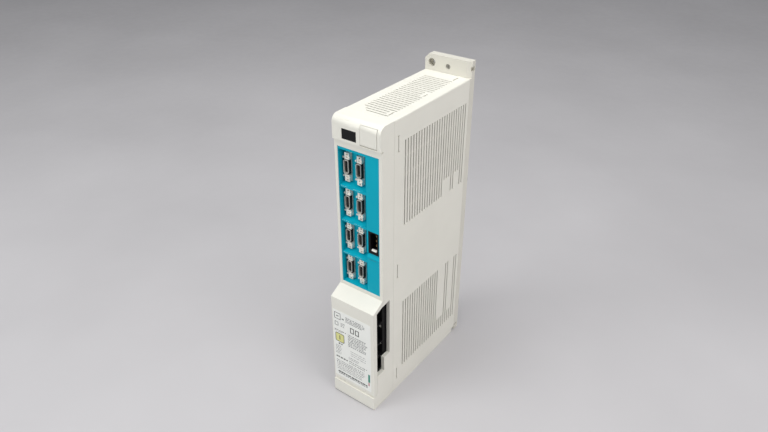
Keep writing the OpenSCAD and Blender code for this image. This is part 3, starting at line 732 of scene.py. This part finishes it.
def capacitor_ends():
    """Bare aluminium ends with a scored vent, and a pale stripe down each sleeve."""
    low, high = corners("dc_capacitors")
    radius = 11.0
    stripe_angles = [math.radians(20 + 5 * k) for k in range(7)]
    ends = Piece("capacitor_ends")
    stripes = Piece("capacitor_stripes")
    for x in (low.x + radius, high.x - radius):
        for z in (low.z + radius, high.z - radius):
            ends.rod((x, low.y - 0.25, z), (x, low.y + 0.2, z), radius - 1.6, sides=40)
            for dx, dz in ((5.5, 0.35), (0.35, 5.5)):
                ends.block(x - dx, x + dx, low.y - 0.45, low.y, z - dz, z + dz)
            outer = arc_points(x, z, radius + 0.06, stripe_angles)
            inner = arc_points(x, z, radius - 0.05, stripe_angles)
            stripes.prism(outer + inner[::-1], low.y + 2, high.y - 2)
    ends.done(LOOKS["plate_steel"], "drive_case", "plate_steel")
    stripes.done(INKS["grey_ink"], "drive_case", "capacitor_sleeve")


label_print()
cover_ribs()
signal_contacts()
panel_print()
brake_tab()
terminal_washers()
terminal_marks()
dial_marks()
chips_on_side("control_board_chips", "control_board", 1, (-50, 8), (166, 246), 60, 2.6, seed=3)
chips_on_side("interface_board_chips", "interface_board", 1, (-50, -32), (166, 322), 40, 3.0, seed=4)
chips_on_side("interface_board_rear_chips", "interface_board", -1, (-50, -32), (166, 322), 30, 2.0, seed=6)
power_board_cans()
power_board_chokes()
power_board_small_parts()
capacitor_ends()

# ---------------------------------------------------------------- stage, light, camera

# Lights: name, place and size in metres, power in watts, colour
LIGHTS = (
    ("overhead", (0.1, -0.2, 1.9), (1.6, 1.6), 26, (1.0, 1.0, 0.98)),
    ("front_left", (-0.9, -1.5, 1.1), (0.9, 1.1), 14, (0.98, 1.0, 0.98)),
    ("right_fill", (1.7, -0.3, 0.9), (0.9, 1.2), 11, (1.0, 0.98, 0.95)),
)
LIT_POINT = Vector((0, 0, 0.19))


def floor():
    """Plain pale floor with faint clouding."""
    bpy.ops.mesh.primitive_plane_add(size=8, location=(0, 0, 0))
    plane = bpy.context.object
    plane.name = "floor"
    s = Shader("floor")
    base = s.ramp(s.noise(scale=3), srgb("bab8bb"), srgb("c2c0c3"))
    sheen = s.span(s.noise(scale=40), low=0.45, high=0.6)
    grit = s.noise(scale=500, detail=2)
    dress(plane, s.finish(base, sheen, s.bump(grit, strength=0.1, depth=0.0001)))


def area_light(name, location, size, power, colour):
    """Rectangular light that looks at the drive's middle."""
    data = bpy.data.lights.new(name, "AREA")
    data.shape = "RECTANGLE"
    data.size, data.size_y = size
    data.energy = power
    data.color = colour
    lamp = bpy.data.objects.new(name, data)
    bpy.context.collection.objects.link(lamp)
    lamp.location = location
    lamp.rotation_euler = (LIT_POINT - Vector(location)).to_track_quat("-Z", "Y").to_euler()


def studio():
    """Pale surroundings and the soft lights."""
    world = bpy.data.worlds.new("studio")
    bpy.context.scene.world = world
    world.use_nodes = True
    back = world.node_tree.nodes["Background"]
    back.inputs["Color"].default_value = (0.88, 0.89, 0.91, 1)
    back.inputs["Strength"].default_value = 0.38
    for light in LIGHTS:
        area_light(*light)
    bpy.context.scene.view_settings.view_transform = "Standard"


def camera():
    """The photograph's viewpoint, worked out from the drive's edges. Angles are in degrees."""
    place = (0.3706, -0.5337, 0.6138)
    yaw, pitch, roll = 36.55, -31.5, 0.17
    data = bpy.data.cameras.new("camera")
    data.sensor_width = 36
    data.lens = 31.03
    data.dof.use_dof = False
    eye = bpy.data.objects.new("camera", data)
    bpy.context.collection.objects.link(eye)
    turn = Matrix.Rotation(math.radians(yaw), 4, "Z") @ Matrix.Rotation(math.radians(90 + pitch), 4, "X")
    tilt = Matrix.Rotation(math.radians(-roll), 4, "Z")
    eye.matrix_world = Matrix.Translation(place) @ turn @ tilt
    bpy.context.scene.camera = eye


floor()
studio()
camera()
